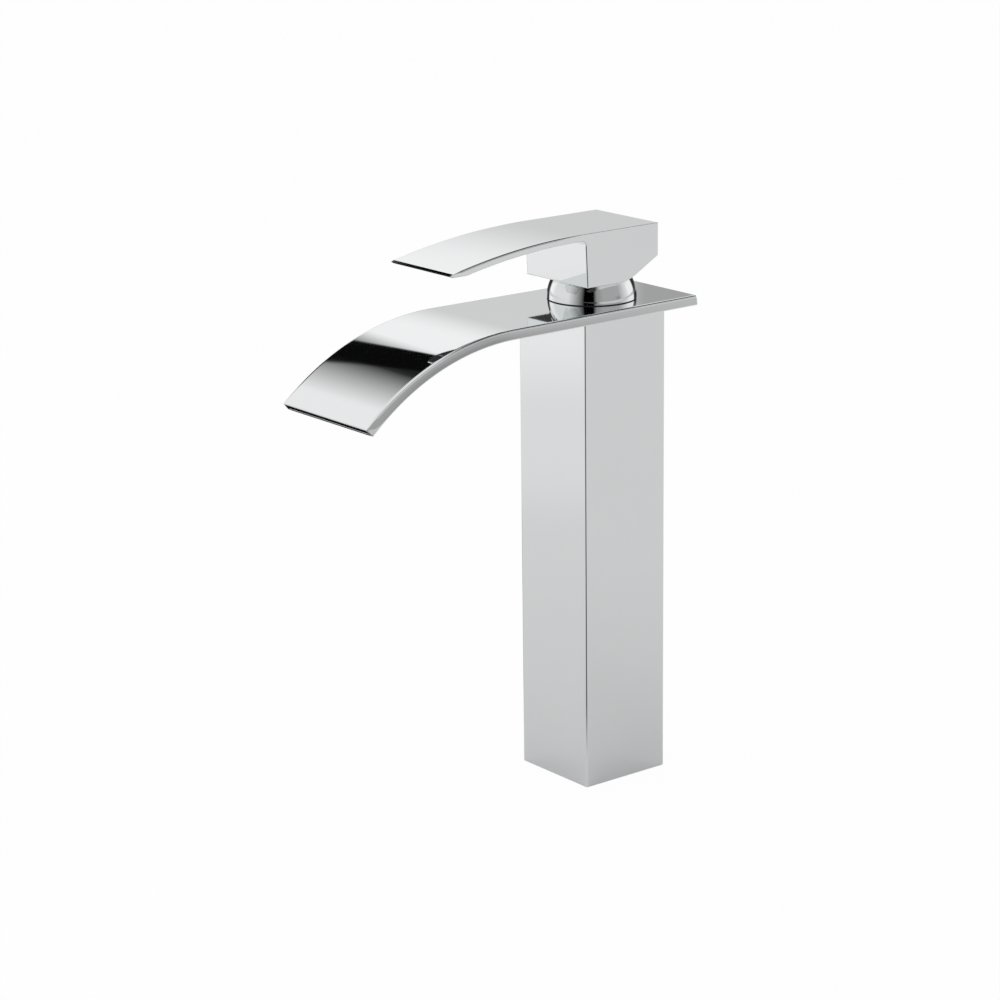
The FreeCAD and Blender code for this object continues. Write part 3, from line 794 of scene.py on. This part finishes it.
@dataclass
class Handle:
    """The block over the dome with its long thin lever, and the plug in its back."""

    front_reach: float = 22.6 * MM
    front_undercut: float = 1.1 * MM
    back_rise: float = 10.3 * MM
    heel_reach: float = 3.6 * MM
    heel_radius: float = 20.0 * MM
    flat_reach: float = 25.0 * MM
    bend_radius: float = 335.0 * MM
    bend_angle: float = math.radians(13.4)
    tip_bevel_angle: float = math.radians(1.6)
    bend_steps: int = 64
    thickness: float = 3.3 * MM
    tip_thickness: float = 1.6 * MM
    tip_undercut: float = math.radians(0.25)
    facet_angle: float = math.radians(21.5)
    facet_length: float = 1.7 * MM
    nose_radius: float = 2.0 * MM
    nose_steps: int = 3
    root_radius: float = 2.0 * MM
    dome_gap: float = 0.55 * MM
    edge_radius: float = 0.3 * MM
    edge_growth: float = 3.3
    edge_ease: float = 16.0 * MM
    front_growth: float = 2.8
    front_ease: float = 0.8 * MM
    socket_half: float = 3.6 * MM
    socket_cover: float = 4.5 * MM
    bore_radius: float = 2.6 * MM
    plug_radius: float = 4.0 * MM
    plug_gap: float = 0.1 * MM
    plug_depth: float = 2.5 * MM
    plug_stem_radius: float = 2.45 * MM
    plug_edge: float = 0.4 * MM
    plug_steps: int = 64

    def __post_init__(self) -> None:
        """Takes the outer sizes and the dome's place from the frame."""
        self.low, self.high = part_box("handle")
        dome_low, dome_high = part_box("dome_cover")
        plug_low, plug_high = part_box("index_plug")
        self.pivot = ALONG_Z * dome_low.z
        self.recess_radius = dome_high.x + self.dome_gap
        self.plug_front = plug_low.y
        self.plug_centre = (plug_low + plug_high) / 2

    def bend_point(self, radius: float, angle: float) -> Point:
        """The y and z of a point on the lever's bend."""
        centre_y, centre_z = -self.flat_reach, self.high.z - self.bend_radius
        return centre_y - radius * math.sin(angle), centre_z + radius * math.cos(angle)

    def rounding_growth(self, y: float) -> float:
        """How much wider the long edges' rounding is at a y."""
        share = ramp(-y, self.flat_reach, self.flat_reach + self.edge_ease)
        share *= ramp(y, self.low.y + 2 * self.facet_length, self.low.y + 4 * self.facet_length)
        return 1.0 + (self.edge_growth - 1.0) * share

    def widen_front(self, mesh: Mesh, root: Point, foot: Point) -> None:
        """Widens the rounding of the block's two upright front edges, in place.

        Args:
            mesh: The mesh, with its edges already rounded.
            root: The y and z of the front face's top.
            foot: The y and z of its foot.
        """
        reach = PAST * self.edge_radius
        for vert in mesh.verts:
            up = (vert.co.z - foot[1]) / (root[1] - foot[1])
            side = self.high.x - abs(vert.co.x)
            depth = vert.co.y - foot[0] - (root[0] - foot[0]) * up
            if 0.0 < up < 1.0 and max(side, abs(depth)) < reach:
                rise = ramp(vert.co.z, foot[1] + self.edge_radius, foot[1] + self.front_ease)
                fall = ramp(vert.co.z, root[1], root[1] - self.front_ease)
                more = (self.front_growth - 1.0) * rise * fall
                vert.co.y += depth * more
                vert.co.x -= math.copysign(side * more, vert.co.x)

    def handle_mesh(self) -> Mesh:
        """Builds the block and lever, with the hollow over the dome and the bores."""
        top, foot, back = self.high.z, self.low.z, self.high.y
        centre = (-self.flat_reach, top - self.bend_radius)
        under_radius = self.bend_radius - self.thickness
        under_angle = self.bend_angle - self.tip_bevel_angle
        root = (-self.front_reach, top - self.thickness)
        front_foot = (self.front_undercut - self.front_reach, foot)
        heel = (self.heel_reach, foot)
        back_foot = (back, foot + self.back_rise)
        outline = SideOutline(self.low.x, (back, top))
        outline.lines_to((-self.flat_reach, top))
        nose_start = self.bend_angle - (self.facet_length + self.edge_radius) / self.bend_radius
        nose_turn = self.facet_angle - nose_start
        outline.arc(centre, nose_start, self.bend_steps)
        nose_centre = self.bend_point(self.bend_radius - self.nose_radius, nose_start)
        outline.arc(nose_centre, nose_turn, self.nose_steps)
        facet = Vector((math.cos(self.facet_angle), math.sin(self.facet_angle))) * self.facet_length
        tip_angle = self.bend_angle - self.tip_undercut
        outline.lines_to(
            tuple(outline.tip.co.yz - facet),
            self.bend_point(self.bend_radius - self.tip_thickness, tip_angle),
            self.bend_point(under_radius, under_angle),
        )
        outline.arc(centre, -under_angle, self.bend_steps)
        outline.rounded_corner(root, front_foot, self.root_radius, 8)
        front_root = tuple(outline.tip.co.yz)
        ease = (Vector(front_foot) - Vector(front_root)).normalized() * self.front_ease * PAST
        rows = (tuple(Vector(front_root) + ease), tuple(Vector(front_foot) - ease))
        outline.lines_to(*rows, front_foot)
        outline.rounded_corner(heel, back_foot, self.heel_radius, 16)
        outline.lines_to(back_foot)
        mesh = outline.mesh
        grown(mesh, [outline.filled()], ALONG_X * (self.high.x - self.low.x))
        faced_out(mesh)
        tip = self.low.y + 3 * self.facet_length
        rounded = []
        for edge in sharp_edges(mesh):
            first, second = (vert.co for vert in edge.verts)
            if max(first.y, second.y) > tip or abs(first.x - second.x) < MERGE:
                rounded.append(edge)
        softened(mesh, rounded, self.edge_radius, clamped=False)
        arch = ArchedTop(top, self.flat_reach, self.bend_radius)
        arch.widen(mesh, lambda y: self.high.x, self.edge_radius, self.rounding_growth)
        self.widen_front(mesh, front_root, front_foot)
        return carved(mesh, self.hollows())

    def hollows(self) -> list[Mesh]:
        """Makes the cutters for the dome, the stem, the screw and the plug."""
        half = self.socket_half
        rise = ALONG_Z * self.plug_centre.z
        back = ALONG_Y * self.high.y
        plug_hole = self.plug_radius + self.plug_gap
        return [
            ball(self.recess_radius, self.pivot),
            block(
                self.pivot - Vector((half, half, 0.0)),
                Vector((half, half, self.high.z - self.socket_cover)),
            ),
            drum(self.bore_radius, rise, rise + back * 2),
            drum(plug_hole, rise + back - ALONG_Y * self.plug_depth, rise + back * 2),
        ]

    def plug_mesh(self) -> Mesh:
        """Builds the plug by turning its half outline about its own line."""
        back, line = self.high.y, self.plug_centre.z
        rim, stem = line + self.plug_radius, line + self.plug_stem_radius
        shoulder = back - self.plug_depth + self.plug_gap
        outline = SideOutline(0.0, (back, line))
        outline.rounded_corner((back, rim), (shoulder, rim), self.plug_edge, 6)
        outline.lines_to(
            (shoulder, rim), (shoulder, stem), (self.plug_front, stem), (self.plug_front, line)
        )
        return outline.turned(ALONG_Z * line, ALONG_Y, self.plug_steps)

    def build(self) -> None:
        """Builds and dresses the handle and its plug."""
        handle = Piece("lever_handle", Body.LIFTING, Slot.CHROME, ("handle",))
        handle.make(self.handle_mesh())
        plug = Piece("index_cap", Body.LIFTING, Slot.INDEX, ("index_plug",))
        plug.make(self.plug_mesh())


class InnerWorks:
    """The carried-over pieces inside the column and under the dome."""

    finishes = {
        Slot.BRASS: ("base_plate", "valve_body", "cartridge_nut"),
        Slot.COPPER: ("hot_supply_tube", "cold_supply_tube"),
        Slot.RUBBER: (
            "deck_gasket", "supply_tube_seals", "spout_inlet_seals", "cup_floor_seals",
            "disc_seals", "rotor_seal",
        ),
        Slot.PALE_PLASTIC: ("cartridge_base", "cartridge_housing"),
        Slot.DARK_PLASTIC: ("disc_carrier", "stem_rotor"),
        Slot.CERAMIC: ("fixed_disc", "moving_disc"),
        Slot.STEEL: ("stem_pin", "lever_stem", "handle_set_screw"),
    }

    def build(self) -> None:
        """Dresses each carried-over node."""
        for slot, names in self.finishes.items():
            for name in names:
                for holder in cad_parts[name].material_slots:
                    holder.material = finish_of(slot)
                log.info("%s: dressed as %s", name, slot.value)


@dataclass(frozen=True)
class TentPanel:
    """One stretch of the studio's wall, by bearing in degrees from the front towards cold.

    Its brightness is given at the floor, at eye level, higher up and under the roof.
    """

    start: float
    end: float
    foot: float
    low: float
    high: float
    top: float


@dataclass(frozen=True)
class Apron:
    """Painted shade and light in the floor's colour that only shiny surfaces see, from one distance
    to another.
    """

    start: float
    end: float
    shade_start: float
    shade_end: float
    ahead: float = 1.0
    shade: float = 0.02
    # painted shade on the floor towards the camera
    camera_side: float = 0.04
    camera_start: float = 26.0
    camera_end: float = 60.0
    side_start: float = 74.0
    ahead_end: float = 348.0
    soft: float = 6.0

    def stretches(self) -> list[tuple[float, float, float]]:
        """The floor's painted shade and light round the object, by bearing in degrees."""
        return [
            (self.camera_start, self.camera_end, self.camera_side),
            (self.side_start, self.shade_start - self.soft, 1.0),
            (self.shade_start, self.shade_end, self.shade),
            (self.shade_end + self.soft, self.ahead_end, self.ahead),
        ]


@dataclass(frozen=True)
class Card:
    """A soft-edged card beside the object that only shiny surfaces show.

    Its bearing is the way that it lies from the object, and its tilt lifts the end that is
    further left when it is looked at from there.
    """

    name: str
    middle: Place
    bearing: float
    tilt: float
    half_width: float
    half_height: float
    grey: float
    soft_side: float
    soft_edge: float

    def build(self) -> None:
        """Hangs the card."""
        away, lean = math.radians(self.bearing), math.radians(self.tilt)
        level = Vector((math.cos(away), math.sin(away), 0.0))
        across = level * math.cos(lean) - ALONG_Z * math.sin(lean)
        up = ALONG_Z * math.cos(lean) + level * math.sin(lean)
        middle = Vector(self.middle)
        mesh = bmesh.new()
        corners = ((-1.0, -1.0), (1.0, -1.0), (1.0, 1.0), (-1.0, 1.0))
        mesh.faces.new([
            mesh.verts.new(middle + across * self.half_width * x + up * self.half_height * y)
            for x, y in corners
        ])
        card = as_object(self.name, mesh)
        board = ShaderBoard(self.name)
        sides = (
            (across, self.half_width, self.soft_side), (up, self.half_height, self.soft_edge)
        )
        cover = board.reckoned("MULTIPLY", *(
            board.step(board.along(board.place, middle, axis), half, half - soft)
            for axis, half, soft in sides
        ))
        clear = board.add("ShaderNodeBsdfTransparent")
        paint = board.add("ShaderNodeEmission", {"Color": self.grey})
        board.show(board.blended(cover, clear.outputs[0], paint.outputs[0]))
        card.data.materials.append(board.material)
        card.visible_camera = card.visible_diffuse = card.visible_transmission = False
        card.visible_shadow = False


@dataclass(frozen=True)
class Lamp:
    """A soft square lamp that shiny surfaces don't show."""

    name: str
    place: Place
    size: float
    power: float

    def build(self, aim: Vector) -> None:
        """Hangs the lamp, pointed at a place."""
        data = bpy.data.lights.new(self.name, "AREA")
        data.size = self.size
        data.energy = self.power
        lamp = bpy.data.objects.new(self.name, data)
        lamp.location = self.place
        lamp.rotation_euler = (aim - lamp.location).to_track_quat("-Z", "Y").to_euler()
        lamp.visible_glossy = False
        bpy.context.scene.collection.objects.link(lamp)


@dataclass
class Studio:
    """The pale floor, the soft walls and lamps, and the camera."""

    floor_half: float = 8.0
    floor_drop: float = 0.1 * MM
    floor_colour: Colour = (0.8, 0.8, 0.8)
    floor_wear: float = 0.97
    floor_patches: float = 3.0
    floor_roughness: float = 0.9
    floor_white: float = 0.97
    fill_strength: float = 0.72
    overhead: float = 0.8
    foot_start: float = math.radians(3.0)
    foot_end: float = math.radians(8.0)
    low_elevation: float = math.radians(10.0)
    high_elevation: float = math.radians(26.0)
    top_start: float = math.radians(39.0)
    top_end: float = math.radians(44.0)
    roof_start: float = math.radians(69.0)
    roof_end: float = math.radians(78.0)
    camera_bearing: float = math.radians(51.95)
    camera_elevation: float = math.radians(15.82)
    camera_roll: float = math.radians(-0.7)
    camera_distance: float = 1489.81 * MM
    camera_lens: float = 109.19
    aim_side: float = -45.38 * MM
    aim_height: float = 137.84 * MM
    panels: tuple[TentPanel, ...] = (
        TentPanel(-163.0, -151.0, 0.03, 0.03, 0.3, 0.05),
        TentPanel(-147.0, -140.0, 0.03, 0.03, 0.96, 0.8),
        TentPanel(-137.0, -113.5, 0.04, 0.64, 0.96, 0.8),
        TentPanel(-106.5, -101.5, 0.02, 0.02, 0.015, 0.8),
        TentPanel(-92.0, -92.0, 0.02, 0.02, 0.5, 0.8),
        TentPanel(-84.0, -76.0, 1.0, 1.0, 0.9, 0.8),
        TentPanel(-58.0, -12.0, 0.78, 0.78, 0.75, 0.8),
        TentPanel(31.0, 55.0, 0.0, 0.0, 0.0, 0.8),
        TentPanel(64.0, 68.0, 0.3, 0.3, 0.3, 0.8),
        TentPanel(80.0, 112.0, 0.38, 0.39, 0.39, 0.8),
        TentPanel(119.0, 127.0, 0.3, 0.4, 0.4, 0.4),
        TentPanel(132.0, 134.0, 0.52, 0.52, 0.45, 0.05),
        TentPanel(150.0, 152.0, 0.75, 0.75, 0.7, 0.05),
        TentPanel(160.0, 184.0, 0.95, 0.95, 0.75, 0.05),
        TentPanel(190.0, 192.0, 0.03, 0.03, 0.75, 0.05),
    )
    cards: tuple[Card, ...] = (
        Card("band_card", (-1.5, 0.34, 1.314), -90.0, 16.7, 0.65, 0.096, 0.003, 0.15, 0.02),
        Card("back_card", (-0.164, 0.192, 0.156), -131.5, 0.0, 0.027, 0.155, 0.38, 0.016, 0.006),
    )
    # painted shade and light on the floor, zone by zone by distance from the object
    aprons: tuple[Apron, ...] = (
        Apron(0.0, 0.0, 278.0, 292.0, shade=1.0, camera_side=1.0),
        Apron(0.06, 0.16, 278.0, 292.0),
        Apron(0.26, 0.34, 258.0, 290.0),
        Apron(0.42, 0.6, 236.0, 256.0, ahead=1.08),
        Apron(0.75, 1.0, 220.0, 268.0, ahead=1.2),
        Apron(1.7, 2.4, 190.0, 268.0, ahead=1.2),
    )
    lamps: tuple[Lamp, ...] = (
        Lamp("key_lamp", (-1.1, -1.0, 1.6), 1.4, 8.0),
        Lamp("fill_lamp", (1.4, 0.9, 1.3), 1.4, 3.0),
    )

    def floor(self) -> None:
        """Lays the floor: white to the camera, shaded by the object, with painted shade towards the
        camera for shiny surfaces.
        """
        mesh = bmesh.new()
        bmesh.ops.create_grid(mesh, x_segments=4, y_segments=4, size=self.floor_half)
        bmesh.ops.translate(mesh, vec=-ALONG_Z * self.floor_drop, verts=mesh.verts)
        floor = as_object("studio_floor", mesh)
        board = ShaderBoard("studio_floor")
        board.feed("Roughness", self.floor_roughness)
        worn = tuple(self.floor_wear * part for part in self.floor_colour)
        plain = board.mixed(board.noise(self.floor_patches, 3.0), worn, self.floor_colour)
        x, y, _ = board.axes(board.place)
        turn = board.turn(x, y)
        squares = [board.reckoned("MULTIPLY", side, side) for side in (x, y)]
        reach = board.reckoned("SQRT", board.reckoned("ADD", *squares))
        # painted shade and light: zone by zone the apron rings darken or brighten the floor's
        # colour
        first, *further = self.aprons
        apron = board.ring(turn, first.stretches())
        for zone in further:
            share = board.step(reach, zone.start, zone.end)
            apron = board.mixed(share, apron, board.ring(turn, zone.stretches()))
        path = board.add("ShaderNodeLightPath")
        # only glossy rays see the painted shade and light
        shade = board.mixed(path.outputs["Is Glossy Ray"], 1.0, apron)
        board.feed("Base Color", board.mixed(1.0, plain, shade, "MULTIPLY"))
        seen = board.reckoned("MULTIPLY", path.outputs["Is Camera Ray"], self.floor_white)
        white = board.add("ShaderNodeEmission")
        board.show(board.blended(seen, board.surface.outputs["BSDF"], white.outputs["Emission"]))
        floor.data.materials.append(board.material)

    def world(self) -> None:
        """Sets up the white world with its soft walls for shiny surfaces."""
        world = bpy.data.worlds.new("studio_world")
        world.use_nodes = True
        bpy.context.scene.world = world
        world.node_tree.nodes.clear()
        walls = NodeBoard(world.node_tree)
        x, y, z = walls.axes(walls.add("ShaderNodeTexCoord").outputs["Generated"])
        turn = walls.turn(x, y)
        elevation = walls.reckoned("ARCSINE", z)
        spans = [(panel.start, panel.end) for panel in self.panels]
        levels = zip(*((panel.foot, panel.low, panel.high, panel.top) for panel in self.panels))
        foot, low, high, top = (
            walls.ring(turn, [(*span, bright) for span, bright in zip(spans, level)])
            for level in levels
        )
        around = foot
        for start, end, level in (
            (self.foot_start, self.foot_end, low),
            (self.low_elevation, self.high_elevation, high),
            (self.top_start, self.top_end, top),
            (self.roof_start, self.roof_end, self.overhead),
        ):
            around = walls.mixed(walls.step(elevation, start, end), around, level)
        path = walls.add("ShaderNodeLightPath")
        shiny = walls.reckoned(
            "MAXIMUM", path.outputs["Is Glossy Ray"], path.outputs["Is Transmission Ray"]
        )
        lit = walls.mixed(shiny, self.fill_strength, around)
        shown = walls.mixed(path.outputs["Is Camera Ray"], lit, 1.0)
        light = walls.add("ShaderNodeBackground", {"Color": shown})
        walls.add("ShaderNodeOutputWorld", {"Surface": light.outputs[0]})

    def camera(self) -> None:
        """Sets up the camera at the photograph's place."""
        data = bpy.data.cameras.new("camera")
        data.sensor_width = 36.0
        data.sensor_fit = "HORIZONTAL"
        data.lens = self.camera_lens
        turn = Matrix.Rotation(self.camera_bearing, 3, "Z")
        tilt = Matrix.Rotation(math.pi / 2 - self.camera_elevation, 3, "X")
        roll = Matrix.Rotation(self.camera_roll, 3, "Z")
        facing = turn @ tilt @ roll
        aim = turn @ ALONG_X * self.aim_side + ALONG_Z * self.aim_height
        place = aim + facing @ ALONG_Z * self.camera_distance
        camera = bpy.data.objects.new("camera", data)
        camera.matrix_world = Matrix.Translation(place) @ facing.to_4x4()
        bpy.context.scene.collection.objects.link(camera)
        bpy.context.scene.camera = camera

    def build(self) -> None:
        """Sets up the whole studio."""
        bpy.context.scene.view_settings.view_transform = "Standard"
        self.camera()
        self.floor()
        self.world()
        for card in self.cards:
            card.build()
        for lamp in self.lamps:
            lamp.build(ALONG_Z * self.aim_height)


def main() -> None:
    """Builds the studio and dresses the mixer, piece by piece."""
    logging.basicConfig(level=logging.INFO)
    Studio().build()
    for part in (Column(), Spout(), Dome(), Handle(), InnerWorks()):
        part.build()


if __name__ == "__main__":
    main()
